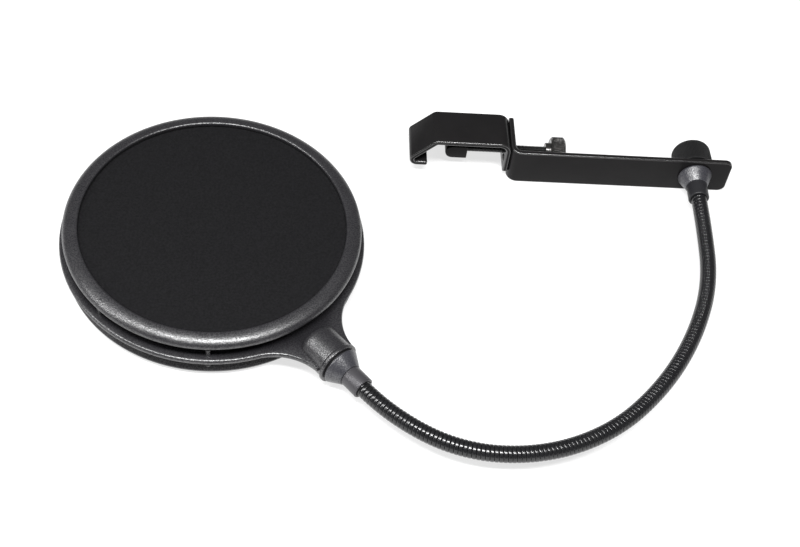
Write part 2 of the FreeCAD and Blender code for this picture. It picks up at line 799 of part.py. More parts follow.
def make_knob():
    """The knob that tightens the swivel, its brass insert and its washer."""
    washer_end = d.sheet + d.knob_washer_thickness
    far = washer_end + d.knob_length
    insert_end = washer_end + d.knob_insert_length
    tube("knob_washer", stud_bore, d.washer_radius, d.washer_radius, d.sheet, washer_end, STUD_ORIGIN,
         STUD_TURN)
    tube("knob_insert", stud_bore, d.knob_insert_radius, d.knob_insert_radius, washer_end, insert_end,
         STUD_ORIGIN, STUD_TURN)
    round_x = d.knob_far_radius - d.knob_round
    edge = size(0.6)
    knob = turned("knob", [
        (d.knob_insert_radius, washer_end),
        (d.knob_radius - edge, washer_end),
        (d.knob_radius, washer_end + edge),
        arc(d.knob_far_radius, far - d.knob_round, d.knob_round, round_x, far - d.knob_round),
        (round_x, far),
        (ZERO, far),
        (ZERO, insert_end + 1.5),
        (d.knob_insert_radius, insert_end + 1.5),
    ])
    keep(knob, "knob", STUD_ORIGIN, STUD_TURN)


# --- build, check and write ----------------------------------------------------------------------

def build():
    for side, turn in (("front", HEAD_TURN), ("rear", HEAD_FLIPPED)):
        make_bezel(side + "_bezel", turn)
        make_screen(side + "_screen", turn)
        make_hoop(side + "_hoop", turn)
    make_centre_frame()
    make_head_fittings()
    for number, span in enumerate(NECK_ARCS, start=1):
        make_neck_span(number, *span)
    make_swivel()
    make_knob()
    make_bar()
    make_hook()
    make_flange_fasteners()
    make_jaw()
    make_clamp_screw()


def check():
    """Stop if any object failed or any sub-part has no valid single solid."""
    doc.recompute()
    for item in doc.Objects:
        if "Invalid" in item.State or "Error" in item.State:
            raise RuntimeError("%s: %s" % (item.Name, item.State))
    for item in SUBPARTS:
        shape = item.Shape
        if shape.isNull() or not shape.isValid() or len(shape.Solids) != 1:
            raise RuntimeError("%s has a bad shape" % item.Label)


def export():
    os.makedirs(PARTS_FOLDER, exist_ok=True)
    for item in SUBPARTS:
        item.Shape.exportStep(os.path.join(PARTS_FOLDER, item.Label + ".step"))
        box = item.Shape.BoundBox
        print("%-14s x %7.2f %7.2f  y %7.2f %7.2f  z %6.2f %6.2f  volume %9.1f" % (
            item.Label, box.XMin, box.XMax, box.YMin, box.YMax, box.ZMin, box.ZMax, item.Shape.Volume))
    print("%d sub-parts" % len(SUBPARTS))


build()
check()
export()
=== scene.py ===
"""Pop filter: the visible model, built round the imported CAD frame.

Lengths are in millimetres inside the shape functions and are scaled to metres when a mesh is made.
The head's centre is at the origin, the surface is z = 0, and the clamp's bar runs along +X.
"""
import math

import bmesh
import bpy
import numpy as np
from mathutils import Matrix, Vector


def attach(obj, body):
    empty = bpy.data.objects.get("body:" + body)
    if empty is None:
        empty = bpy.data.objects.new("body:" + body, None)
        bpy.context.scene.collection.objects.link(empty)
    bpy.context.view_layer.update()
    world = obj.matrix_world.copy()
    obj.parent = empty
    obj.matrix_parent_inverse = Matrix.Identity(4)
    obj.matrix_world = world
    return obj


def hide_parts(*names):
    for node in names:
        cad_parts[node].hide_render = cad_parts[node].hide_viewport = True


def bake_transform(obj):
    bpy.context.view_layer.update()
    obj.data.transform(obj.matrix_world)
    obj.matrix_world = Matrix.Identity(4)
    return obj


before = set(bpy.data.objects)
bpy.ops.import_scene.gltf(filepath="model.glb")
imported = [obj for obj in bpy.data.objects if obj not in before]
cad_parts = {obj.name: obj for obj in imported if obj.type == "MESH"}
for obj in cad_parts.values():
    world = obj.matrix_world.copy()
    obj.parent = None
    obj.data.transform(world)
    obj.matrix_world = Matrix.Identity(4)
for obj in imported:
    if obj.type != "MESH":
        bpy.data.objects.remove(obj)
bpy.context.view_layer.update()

MM = 0.001
FULL_TURN = 2 * math.pi

# --- sizes of the object ---------------------------------------------------------------------------

HEAD_THICKNESS = 27.0
HEAD_MIDDLE_Z = HEAD_THICKNESS / 2
BEZEL_RADIUS = 77.5
LIP_RADIUS = 69.3
BEZEL_DEPTH = 7.0
SKIRT_WALL = 3.9
SCREEN_RADIUS = 72.9
SCREEN_TOP = HEAD_MIDDLE_Z - 2.6
SCREEN_THICKNESS = 0.4
THREAD_SPACING = 0.62
THREAD_LIFT = 0.07
FRAME_RADIUS = 79.6
FRAME_BORE = 70.0
FRAME_THICKNESS = 3.2
POST_RADIUS = 1.25
POST_CIRCLE = 74.9
POST_ANGLES = [40 + 280 / 6 * number for number in range(7)]
HUB_ANGLE = math.radians(-49.0)
HUB_HALF_WIDTH = 11.5
HUB_BLEND = 30.0
HUB_START = 81.0
HUB_RADIUS = 10.7
HUB_LIP_RADIUS = 11.6
HUB_FACE = 101.0
HUB_LIP = 2.2
FRAME_END = HUB_FACE - 3
HUB_WASHER_RADIUS = 9.3
WASHER_END = HUB_FACE + 0.8
HUB_CONE_RADIUS = 10.3
HUB_CONE_TIP = 6.35
CONE_END = WASHER_END + 7.6
HUB_FERRULE_RADIUS = 5.8
FERRULE_MOUTH = 119.8
# Bores shared by the fittings at both ends of the gooseneck.
STUD_BORE = 3.1
INSERT_BORE = 5.05
NECK_SEAT = 4.5
NECK_SEAT_DEPTH = 6.4
STUD_Z = 12.3
NECK_RADIUS = 4.4
NECK_SPAN = 38.9
NECK_TURNS = [19.3, 28.1, 23.2, 21.5, 13.6, 12.7, 17.3, 3.3]
NECK_PITCH = 2.15
NECK_GROOVE = 0.64
NECK_TAIL = 5.5
# Swivel and knob, along the stud's axis.
WASHER_RADIUS = 8.4
SWIVEL_WASHER = 0.5
SWIVEL_CONE_RADIUS = 9.45
SWIVEL_CONE_TIP = 6.2
SWIVEL_CONE_LENGTH = 8.0
SWIVEL_FERRULE_RADIUS = 5.8
SWIVEL_FERRULE_LENGTH = 9.2
KNOB_WASHER = 1.0
KNOB_RADIUS = 11.4
KNOB_FAR_RADIUS = 10.9
KNOB_ROUND = 4.0
KNOB_LENGTH = 15.6
KNOB_FLUTES = 90
FLUTE_DEPTH = 0.30
# Clamp: x is measured from the stud's axis.
SHEET = 2.8
STRIP_WIDTH = 23.6
FLANGE_X = -106.3
FLANGE_REACH = 28.1
FLANGE_CORNER = 2.0
BAR_BEND = 6.0
BAR_END_X = 20.0
BAR_CORNER = 4.5
STRIP_EDGE = 0.8
CORNER_POINTS = 6
HOOK_X = -162.3
HOOK_TOP = 26.8
HOOK_BOTTOM = 7.0
HOOK_BEND = 4.3
HOOK_FLANGE_BEND = 6.5
HOOK_FLANGE_BOTTOM = 4.0
HOOK_SLOPE = math.radians(46.0)
LIP_X = -152.2
RIVET_OFFSET = 6.5
RIVET_RADIUS = 1.3
RIVET_HEAD_RADIUS = 2.2
RIVET_HEAD = 0.8
SCREW_Z = 11.0
SCREW_RADIUS = 2.5
SCREW_PITCH = 0.8
THREAD_DEPTH = 0.46
COLLAR_X = -84.9
COLLAR_RADIUS = 4.6
COLLAR_LENGTH = 2.9
SCREW_HEAD_RADIUS = 8.0
SCREW_HEAD_LENGTH = 8.2
SCREW_HEAD_CHAMFER = 1.1
KNURL_COUNT = 40
KNURL_DEPTH = 0.6
JAW_NOSE_X = -141.9
JAW_BACK_X = -129.5
JAW_HALF = 4.6
JAW_ROUND = 4.3
JAW_SIDE_ROUND = 1.2
JAW_LONG_EDGE = 0.7
JAW_BACK_EDGE = 0.5
ROD_IN_JAW = 7.9


# --- mesh helpers ----------------------------------------------------------------------------------

def new_piece(name, points, faces, material, body, sharp=35, edge_material=None, edge_faces=()):
    """A smooth-shaded mesh from points in millimetres, riding on a body."""
    mesh = bpy.data.meshes.new(name)
    mesh.from_pydata([tuple(point) for point in np.asarray(points) * MM], [], faces)
    mesh.materials.append(material)
    if edge_material:
        mesh.materials.append(edge_material)
    for number in edge_faces:
        mesh.polygons[number].material_index = 1
    tidy = bmesh.new()
    tidy.from_mesh(mesh)
    bmesh.ops.remove_doubles(tidy, verts=tidy.verts, dist=1e-7)
    bmesh.ops.recalc_face_normals(tidy, faces=tidy.faces)
    tidy.to_mesh(mesh)
    tidy.free()
    mesh.shade_smooth()
    mesh.set_sharp_from_angle(angle=math.radians(sharp))
    piece = bpy.data.objects.new(name, mesh)
    bpy.context.scene.collection.objects.link(piece)
    if body:
        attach(piece, body)
    return piece


def grid_faces(rows, columns, close_rows=False, close_columns=True, caps=True):
    """Faces of a grid of points, wrapped along its columns, rows or both, with its ends capped."""
    faces = []
    for row in range(rows if close_rows else rows - 1):
        below = row * columns
        above = (row + 1) % rows * columns
        for column in range(columns if close_columns else columns - 1):
            following = (column + 1) % columns
            faces.append((below + column, below + following, above + following, above + column))
    if caps and not close_rows:
        faces.append(tuple(range(columns)))
        faces.append(tuple(range((rows - 1) * columns, rows * columns)))
    return faces


def placed(points, matrix):
    """Points carried by a 4 x 4 matrix."""
    array = np.asarray(points, float).reshape(-1, 3)
    turn = np.array(matrix.to_3x3())
    return array @ turn.T + np.array(matrix.to_translation())


def rounded(corners, steps=6):
    """An open outline of (x, y) or (x, y, radius) corners, with each radius drawn as an arc."""
    outline = []
    for number, corner in enumerate(corners):
        here = Vector(corner[:2])
        if len(corner) < 3 or number in (0, len(corners) - 1):
            outline.append(tuple(here))
            continue
        radius = corner[2]
        back = (Vector(corners[number - 1][:2]) - here).normalized()
        ahead = (Vector(corners[number + 1][:2]) - here).normalized()
        half = back.angle(ahead) / 2
        reach = radius / math.tan(half)
        centre = here + (back + ahead).normalized() * (radius / math.sin(half))
        first = here + back * reach - centre
        last = here + ahead * reach - centre
        turn = first.angle_signed(last)
        for step in range(steps + 1):
            angle = -turn * step / steps
            outline.append(tuple(centre + Matrix.Rotation(angle, 2) @ first))
    return outline


def lathe(name, outline, matrix, material, body, segments=96, closed=False, shape=None, sharp=35):
    """Turn (radius, height) points about local Z.  shape(radius, angle, height) may change a radius."""
    points = []
    for radius, height in outline:
        for segment in range(segments):
            angle = FULL_TURN * segment / segments
            here = shape(radius, angle, height) if shape else radius
            points.append((here * math.cos(angle), here * math.sin(angle), height))
    faces = grid_faces(len(outline), segments, close_rows=closed, caps=not closed)
    return new_piece(name, placed(points, matrix), faces, material, body, sharp)


def subdivided(outline, step):
    """The same outline with points added so that none are further apart than a step."""
    fine = [outline[0]]
    for start, end in zip(outline, outline[1:]):
        count = max(1, math.ceil(math.dist(start, end) / step))
        for number in range(1, count + 1):
            share = number / count
            fine.append(tuple(a + (b - a) * share for a, b in zip(start, end)))
    return fine


# --- materials -------------------------------------------------------------------------------------

def material(name, colour, roughness, metallic=0.0, specular=0.5, grain=None, mottle=0.0,
             rough_spread=0.0, sparkle=0.0):
    """A procedural surface.  grain is (texture scale in 1/m, bump height in m), mottle and sparkle are the
    shares by which the colour and the specular level vary, and rough_spread is how far the roughness
    varies each way."""
    made = bpy.data.materials.new(name)
    made.use_nodes = True
    nodes = made.node_tree.nodes
    links = made.node_tree.links
    shader = nodes["Principled BSDF"]
    shader.inputs["Base Color"].default_value = (*colour, 1.0)
    shader.inputs["Roughness"].default_value = roughness
    shader.inputs["Metallic"].default_value = metallic
    shader.inputs["Specular IOR Level"].default_value = specular
    where = nodes.new("ShaderNodeTexCoord")
    if mottle:
        cloud = nodes.new("ShaderNodeTexNoise")
        cloud.inputs["Scale"].default_value = 60.0
        cloud.inputs["Detail"].default_value = 4.0
        links.new(where.outputs["Object"], cloud.inputs["Vector"])
        ramp = nodes.new("ShaderNodeValToRGB")
        ramp.color_ramp.elements[0].position = 0.3
        ramp.color_ramp.elements[1].position = 0.7
        ramp.color_ramp.elements[0].color = (*[part * (1 - mottle) for part in colour], 1.0)
        ramp.color_ramp.elements[1].color = (*[part * (1 + mottle) for part in colour], 1.0)
        links.new(cloud.outputs["Fac"], ramp.inputs["Fac"])
        links.new(ramp.outputs["Color"], shader.inputs["Base Color"])
    if rough_spread:
        smudge = nodes.new("ShaderNodeTexNoise")
        smudge.inputs["Scale"].default_value = 140.0
        smudge.inputs["Detail"].default_value = 5.0
        links.new(where.outputs["Object"], smudge.inputs["Vector"])
        spread = nodes.new("ShaderNodeMapRange")
        spread.inputs["From Min"].default_value = 0.3
        spread.inputs["From Max"].default_value = 0.7
        spread.inputs["To Min"].default_value = roughness - rough_spread
        spread.inputs["To Max"].default_value = roughness + rough_spread
        links.new(smudge.outputs["Fac"], spread.inputs["Value"])
        links.new(spread.outputs["Result"], shader.inputs["Roughness"])
    if sparkle:
        fleck = nodes.new("ShaderNodeTexNoise")
        fleck.inputs["Scale"].default_value = 1500.0
        fleck.inputs["Detail"].default_value = 1.0
        links.new(where.outputs["Object"], fleck.inputs["Vector"])
        gleam = nodes.new("ShaderNodeMapRange")
        gleam.inputs["From Min"].default_value = 0.35
        gleam.inputs["From Max"].default_value = 0.65
        gleam.inputs["To Min"].default_value = specular * (1 - sparkle)
        gleam.inputs["To Max"].default_value = specular * (1 + sparkle)
        links.new(fleck.outputs["Fac"], gleam.inputs["Value"])
        links.new(gleam.outputs["Result"], shader.inputs["Specular IOR Level"])
    if grain:
        scale, height = grain
        pebble = nodes.new("ShaderNodeTexVoronoi")
        pebble.inputs["Scale"].default_value = scale
        links.new(where.outputs["Object"], pebble.inputs["Vector"])
        bump = nodes.new("ShaderNodeBump")
        bump.inputs["Strength"].default_value = 1.0
        bump.inputs["Distance"].default_value = height
        links.new(pebble.outputs["Distance"], bump.inputs["Height"])
        links.new(bump.outputs["Normal"], shader.inputs["Normal"])
    return made


MOULDED = material("moulded_plastic", (0.015, 0.0145, 0.0165), 0.35, specular=0.95,
                   grain=(1300.0, 0.00005), mottle=0.12, rough_spread=0.03, sparkle=0.5)
CONE = material("cone_plastic", (0.030, 0.030, 0.036), 0.36, specular=0.85,
                grain=(1400.0, 0.00005), mottle=0.10, rough_spread=0.03, sparkle=0.5)
FERRULE_GREY = material("ferrule_grey", (0.055, 0.053, 0.058), 0.38, metallic=0.3,
                        grain=(2500.0, 0.00003), mottle=0.08, rough_spread=0.06)
FERRULE_DARK = material("ferrule_dark", (0.016, 0.016, 0.018), 0.42, specular=0.4,
                        grain=(2500.0, 0.00003), mottle=0.10, rough_spread=0.05)
WASHER = material("washer_black", (0.010, 0.010, 0.010), 0.55, specular=0.3, grain=(2000.0, 0.00003),
                  mottle=0.1)
HOOP = material("hoop_black", (0.014, 0.014, 0.015), 0.5, specular=0.3, grain=(1500.0, 0.00004),
                mottle=0.1)
KNOB = material("knob_black", (0.011, 0.011, 0.0113), 0.50, specular=0.25, grain=(2000.0, 0.00003),
                mottle=0.12, rough_spread=0.05)
NECK = material("neck_black", (0.008, 0.008, 0.009), 0.22, specular=0.6, mottle=0.15,
                rough_spread=0.04)
BRACKET = material("bracket_gloss_black", (0.0105, 0.0100, 0.0103), 0.18, specular=0.07,
                   grain=(700.0, 0.00001), mottle=0.10, rough_spread=0.04)
BRACKET_EDGE = material("bracket_edge_gloss", (0.0105, 0.0100, 0.0103), 0.25, specular=0.90,
                        grain=(700.0, 0.00001), mottle=0.10, rough_spread=0.04)
SCREW = material("blackened_steel", (0.080, 0.078, 0.076), 0.22, metallic=0.85, grain=(1800.0, 0.00002),
                 mottle=0.25, rough_spread=0.06)
# The thread is blackened steel like the head, but painted darker as painted shade, since it sits under the
# hook's top.
THREAD = material("blackened_thread_with_painted_shade", (0.022, 0.022, 0.022), 0.24, metallic=0.5, specular=0.6,
                  grain=(1800.0, 0.00002), mottle=0.2, rough_spread=0.05)
STEEL = material("plain_steel", (0.45, 0.45, 0.46), 0.3, metallic=1.0, grain=(1800.0, 0.00001),
                 mottle=0.05)
BRASS = material("plain_brass", (0.62, 0.45, 0.20), 0.3, metallic=1.0, grain=(1800.0, 0.00001),
                 mottle=0.05)


def woven_nylon():
    """Close black weave: threads that cross at right angles, with a faint sheen."""
    made = material("woven_nylon", (0.006, 0.006, 0.0066), 0.60, specular=0.10)
    nodes = made.node_tree.nodes
    links = made.node_tree.links
    shader = nodes["Principled BSDF"]
    shader.inputs["Sheen Weight"].default_value = 0.04
    shader.inputs["Sheen Roughness"].default_value = 0.4
    where = nodes.new("ShaderNodeTexCoord")
    heights = []
    for direction in ("X", "Y"):
        wave = nodes.new("ShaderNodeTexWave")
        wave.bands_direction = direction
        wave.inputs["Scale"].default_value = 750.0
        wave.inputs["Distortion"].default_value = 0.4
        links.new(where.outputs["Object"], wave.inputs["Vector"])
        heights.append(wave.outputs["Fac"])
    weave = nodes.new("ShaderNodeMath")
    weave.operation = "MAXIMUM"
    for socket, height in enumerate(heights):
        links.new(height, weave.inputs[socket])
    bump = nodes.new("ShaderNodeBump")
    bump.inputs["Strength"].default_value = 0.8
    bump.inputs["Distance"].default_value = 0.00008
    links.new(weave.outputs["Value"], bump.inputs["Height"])
    links.new(bump.outputs["Normal"], shader.inputs["Normal"])
    cloud = nodes.new("ShaderNodeTexNoise")
    cloud.inputs["Scale"].default_value = 900.0
    cloud.inputs["Detail"].default_value = 2.0
    links.new(where.outputs["Object"], cloud.inputs["Vector"])
    ramp = nodes.new("ShaderNodeValToRGB")
    ramp.color_ramp.elements[0].position = 0.3
    ramp.color_ramp.elements[1].position = 0.7
    ramp.color_ramp.elements[0].color = (0.0038, 0.0038, 0.0042, 1.0)
    ramp.color_ramp.elements[1].color = (0.0085, 0.0083, 0.0093, 1.0)
    links.new(cloud.outputs["Fac"], ramp.inputs["Fac"])
    links.new(ramp.outputs["Color"], shader.inputs["Base Color"])
    return made


NYLON = woven_nylon()

# --- places ----------------------------------------------------------------------------------------

HEAD_PLACE = Matrix.Translation((0, 0, HEAD_MIDDLE_Z)) @ Matrix.Rotation(HUB_ANGLE, 4, "Z")
HEAD_FLIPPED = HEAD_PLACE @ Matrix.Rotation(math.pi, 4, "X")
HUB_PLACE = (Matrix.Translation((0, 0, STUD_Z)) @ Matrix.Rotation(HUB_ANGLE, 4, "Z")
             @ Matrix.Rotation(math.pi / 2, 4, "Y"))


def neck_point(distance):
    """(centre, heading) of the gooseneck's centreline at a distance from the head's ferrule."""
    x = FERRULE_MOUTH * math.cos(HUB_ANGLE)
    y = FERRULE_MOUTH * math.sin(HUB_ANGLE)
    heading = HUB_ANGLE
    if distance < 0:
        return Vector((x + distance * math.cos(heading), y + distance * math.sin(heading), STUD_Z)), heading
    for turn in NECK_TURNS:
        run = min(distance, NECK_SPAN)
        curve = math.radians(turn) / NECK_SPAN
        after = heading + curve * run
        x += (math.sin(after) - math.sin(heading)) / curve
        y -= (math.cos(after) - math.cos(heading)) / curve
        heading = after
        distance -= run
        if distance <= 0:
            break
    return Vector((x + distance * math.cos(heading), y + distance * math.sin(heading), STUD_Z)), heading


NECK_LENGTH = NECK_SPAN * len(NECK_TURNS)
NECK_END = neck_point(NECK_LENGTH)[0]
CLAMP_X = NECK_END.x
BAR_FRONT = NECK_END.y + SWIVEL_FERRULE_LENGTH + SWIVEL_CONE_LENGTH + SWIVEL_WASHER
STUD_PLACE = Matrix.Translation((CLAMP_X, BAR_FRONT, STUD_Z)) @ Matrix.Rotation(-math.pi / 2, 4, "X")
SCREW_Y = BAR_FRONT + SHEET + STRIP_WIDTH / 2
SCREW_PLACE = Matrix.Translation((CLAMP_X, SCREW_Y, SCREW_Z)) @ Matrix.Rotation(math.pi / 2, 4, "Y")


# --- head ------------------------------------------------------------------------------------------

def bezel_outline():
    """The closed section of a bezel's ring: a rounded crown and a tapering skirt."""
    top = HEAD_MIDDLE_Z
    bottom = top - BEZEL_DEPTH
    crown = (BEZEL_RADIUS - LIP_RADIUS) / 2
    lip_round = 1.1
    # A quarter circle over the inner lip, then a quarter ellipse down to the widest point.
    arch = []
    for step in range(9):
        angle = math.pi / 2 * step / 8
        arch.append((LIP_RADIUS + lip_round * (1 - math.cos(angle)),
                     top - lip_round * (1 - math.sin(angle))))
    ridge = LIP_RADIUS + lip_round
    drop = crown + 0.2
    for step in range(1, 25):
        angle = math.pi / 2 * step / 24
        arch.append((ridge + (BEZEL_RADIUS - ridge) * math.sin(angle), top - drop * (1 - math.cos(angle))))
    outer_bottom = BEZEL_RADIUS - crown / 2
    inner_skirt = BEZEL_RADIUS - SKIRT_WALL
    lower = rounded([
        (BEZEL_RADIUS, top - drop),
        (outer_bottom, bottom, 0.5),
        (inner_skirt, bottom, 0.4),
        (inner_skirt, SCREEN_TOP + 0.15),
    ], 4)
    return arch + lower[1:] + [(LIP_RADIUS + 0.1, SCREEN_TOP + 0.15), (LIP_RADIUS, SCREEN_TOP + 0.3)]


def make_bezel(side, place):
    """A bezel's ring and its seven stand-off posts."""
    ring = lathe(side + "_bezel_ring", bezel_outline(), place, MOULDED, "head", segments=288, closed=True)
    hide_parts(side + "_bezel")
    foot = FRAME_THICKNESS / 2
    root = HEAD_MIDDLE_Z - BEZEL_DEPTH
    outline = rounded([
        (0.01, foot),
        (POST_RADIUS + 0.25, foot, 0.1),
        (POST_RADIUS, foot + 0.5, 0.3),
        (POST_RADIUS, root - 0.9, 0.5),
        (POST_RADIUS + 0.6, root, 0.1),
        (POST_RADIUS + 0.6, root + 0.4),
        (0.01, root + 0.4),
    ], 3)
    for number, angle in enumerate(POST_ANGLES, start=1):
        turned = Matrix.Rotation(math.radians(angle), 4, "Z") @ Matrix.Translation((POST_CIRCLE, 0, 0))
        post = lathe("%s_post_%d" % (side, number), outline, place @ turned, MOULDED, "head", segments=20)


def make_screen(side, place):
    """A flat disc of woven nylon: a fine grid whose threads pass over and under each other."""
    count = int(SCREEN_RADIUS / THREAD_SPACING)
    top = SCREEN_TOP - SCREEN_THICKNESS / 2
    points = []
    index = {}
    for row in range(-count, count + 1):
        for column in range(-count, count + 1):
            x = column * THREAD_SPACING
            y = row * THREAD_SPACING
            if math.hypot(x, y) <= SCREEN_RADIUS - 0.05:
                index[row, column] = len(points)
                lift = THREAD_LIFT if (row + column) % 2 else -THREAD_LIFT
                points.append((x, y, top + lift))
    faces = []
    for row, column in index:
        corners = [(row, column), (row, column + 1), (row + 1, column + 1), (row + 1, column)]
        if all(corner in index for corner in corners):
            faces.append(tuple(index[corner] for corner in corners))
    screen = new_piece(side + "_mesh_screen", placed(points, place), faces, NYLON, "head", sharp=180)
    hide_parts(side + "_screen")


def frame_edge(angle):
    """Distance from the centre to the middle ring's outer edge, at an angle from the hub's axis."""
    reach = FRAME_RADIUS + HUB_BLEND
    blend_y = HUB_HALF_WIDTH + HUB_BLEND
    blend_x = math.sqrt(reach ** 2 - blend_y ** 2)
    angle = abs(math.remainder(angle, FULL_TURN))
    if angle >= math.atan2(blend_y, blend_x):
        return FRAME_RADIUS
    ends = FRAME_END / math.cos(angle)
    along = blend_x * math.cos(angle) + blend_y * math.sin(angle)
    inside = along ** 2 - reach ** 2 + HUB_BLEND ** 2
    if inside < 0:
        return ends
    return min(ends, along - math.sqrt(inside))


def make_centre_frame():
    """The flat middle ring that widens into the hub, and the hub's barrel."""
    coarse = [math.radians(degree) for degree in range(30, 331, 1)]
    fine = [math.radians(-30 + 0.2 * step) for step in range(300)]
    angles = fine + coarse[:-1]
    lower = -FRAME_THICKNESS / 2
    edge = 1.45
    points = []
    section = [("in", 0.3, lower), ("in", 0.0, lower + 0.3), ("in", 0.0, -lower - 0.3), ("in", 0.3, -lower)]
    for step in range(13):
        turn = math.pi / 2 - math.pi * step / 12
        section.append(("out", edge * (math.cos(turn) - 1), (-lower) * math.sin(turn)))
    for angle in angles:
        outer = frame_edge(angle)
        for side, offset, height in section:
            radius = FRAME_BORE + offset if side == "in" else outer + offset
            points.append((radius * math.cos(angle), radius * math.sin(angle), height))
    faces = grid_faces(len(angles), len(section), close_rows=True, caps=False)
    ring = new_piece("middle_ring", placed(points, HEAD_PLACE), faces, MOULDED, "head", sharp=50)
    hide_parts("centre_frame")
    lip_start = HUB_FACE - HUB_LIP
    outline = rounded([
        (0.01, HUB_START),
        (HUB_RADIUS, HUB_START, 4.5),
        (HUB_RADIUS, lip_start, 0.6),
        (HUB_LIP_RADIUS, lip_start + 0.5, 0.5),
        (HUB_LIP_RADIUS, HUB_FACE, 0.5),
        (INSERT_BORE, HUB_FACE),
        (INSERT_BORE, HUB_FACE - 0.6),
        (0.01, HUB_FACE - 0.6),
    ], 8)
    barrel = lathe("hub_barrel", outline, HUB_PLACE, MOULDED, "head", segments=128)


def make_head_fittings():
    """Washer, cone and ferrule between the hub and the gooseneck."""
    washer = lathe("hub_groove_washer", rounded([
        (STUD_BORE, HUB_FACE), (HUB_WASHER_RADIUS, HUB_FACE, 0.15),
        (HUB_WASHER_RADIUS, WASHER_END, 0.15), (STUD_BORE, WASHER_END),
    ], 3), HUB_PLACE, WASHER, "neck_end", closed=True)
    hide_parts("head_washer")
    cone = lathe("hub_cone", rounded([
        (STUD_BORE, WASHER_END), (HUB_CONE_RADIUS, WASHER_END, 0.5),
        (HUB_CONE_RADIUS, WASHER_END + 0.9, 0.6), (HUB_CONE_TIP, CONE_END, 0.15), (STUD_BORE, CONE_END),
    ], 5), HUB_PLACE, CONE, "neck_end", segments=128, closed=True)
    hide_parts("head_cone")
    outer = HUB_FERRULE_RADIUS
    seat = FERRULE_MOUTH - NECK_SEAT_DEPTH
    ferrule = lathe("hub_ferrule", rounded([
        (STUD_BORE, CONE_END), (outer, CONE_END, 0.2), (outer + 0.05, FERRULE_MOUTH - 0.3, 0.3),
        (outer - 0.3, FERRULE_MOUTH, 0.3), (NECK_SEAT + 0.1, FERRULE_MOUTH, 0.3), (NECK_SEAT, seat),
        (STUD_BORE, seat),
    ], 4), HUB_PLACE, FERRULE_GREY, "neck_end", closed=True)
    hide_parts("head_ferrule")


# --- gooseneck -------------------------------------------------------------------------------------

def neck_radius(distance, angle):
    """The wound tube's outer radius: round ridges that climb as a spiral, with narrow grooves."""
    phase = (distance / NECK_PITCH - angle / FULL_TURN) % 1.0
    groove = abs(phase - 0.5) * 2
    return NECK_RADIUS - 0.04 - NECK_GROOVE * groove ** 7


def make_neck():
    """Seven lengths of wound tube that meet end to end, each centred on one of the neck's hinges."""
    segments = 28
    step = NECK_PITCH / 14
    for number in range(1, len(NECK_TURNS)):
        low = -NECK_TAIL if number == 1 else (number - 0.5) * NECK_SPAN
        high = NECK_LENGTH + NECK_TAIL if number == 7 else (number + 0.5) * NECK_SPAN
        rows = round((high - low) / step) + 1
        points = []
        for row in range(rows):
            distance = low + (high - low) * row / (rows - 1)
            centre, heading = neck_point(distance)
            side = Vector((-math.sin(heading), math.cos(heading), 0))
            for segment in range(segments):
                angle = FULL_TURN * segment / segments
                radius = neck_radius(distance, angle)
                point = centre + side * (radius * math.cos(angle))
                point.z += radius * math.sin(angle)
                points.append(point)
        faces = grid_faces(rows, segments)
        piece = new_piece("neck_length_%d" % number, points, faces, NECK, None, sharp=60)
        start = neck_point((number - 0.5) * NECK_SPAN)[0] * MM
        end = neck_point((number + 0.5) * NECK_SPAN)[0] * MM
        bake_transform(piece)
        spans = ["neck_span_%d" % number]
        if number == 7:
            spans.append("neck_span_8")
        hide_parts(*spans)


# --- swivel and knob ---------------------------------------------------------------------------------

def make_swivel():
    """Ferrule, cone and washer between the gooseneck and the bar."""
    cone_end = -SWIVEL_WASHER
    cone_start = cone_end - SWIVEL_CONE_LENGTH
    mouth = cone_start - SWIVEL_FERRULE_LENGTH
    washer = lathe("swivel_ring", rounded([
        (STUD_BORE, cone_end), (WASHER_RADIUS, cone_end, 0.1), (WASHER_RADIUS, 0, 0.1), (STUD_BORE, 0),
    ], 3), STUD_PLACE, WASHER, "arm", closed=True)
    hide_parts("swivel_washer")
    cone = lathe("swivel_cone", rounded([
        (STUD_BORE, cone_start), (SWIVEL_CONE_TIP, cone_start, 0.3),
        (SWIVEL_CONE_RADIUS, cone_end - 0.9, 0.6), (SWIVEL_CONE_RADIUS, cone_end, 0.3),
        (STUD_BORE, cone_end),
    ], 5), STUD_PLACE, CONE, "arm", segments=128, closed=True)
    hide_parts("clamp_cone")
    outer = SWIVEL_FERRULE_RADIUS
    seat = mouth + NECK_SEAT_DEPTH
    ferrule = lathe("swivel_ferrule", rounded([
        (NECK_SEAT + 0.2, mouth, 0.1), (outer - 0.3, mouth, 0.3), (outer, mouth + 0.4, 0.3),
        (outer, cone_start, 0.1), (STUD_BORE, cone_start), (STUD_BORE, seat), (NECK_SEAT, seat),
        (NECK_SEAT, mouth + 0.4),
    ], 4), STUD_PLACE, FERRULE_DARK, "arm", closed=True)
    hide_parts("clamp_ferrule")


def knob_flutes(radius, angle, height):
    """Fine flutes along the knob's side, which fade out towards its rounded end."""
    if radius < KNOB_FAR_RADIUS - 0.8:
        return radius
    flute = 0.5 - 0.5 * math.cos(angle * KNOB_FLUTES)
    return radius - FLUTE_DEPTH * (1 - flute) ** 2


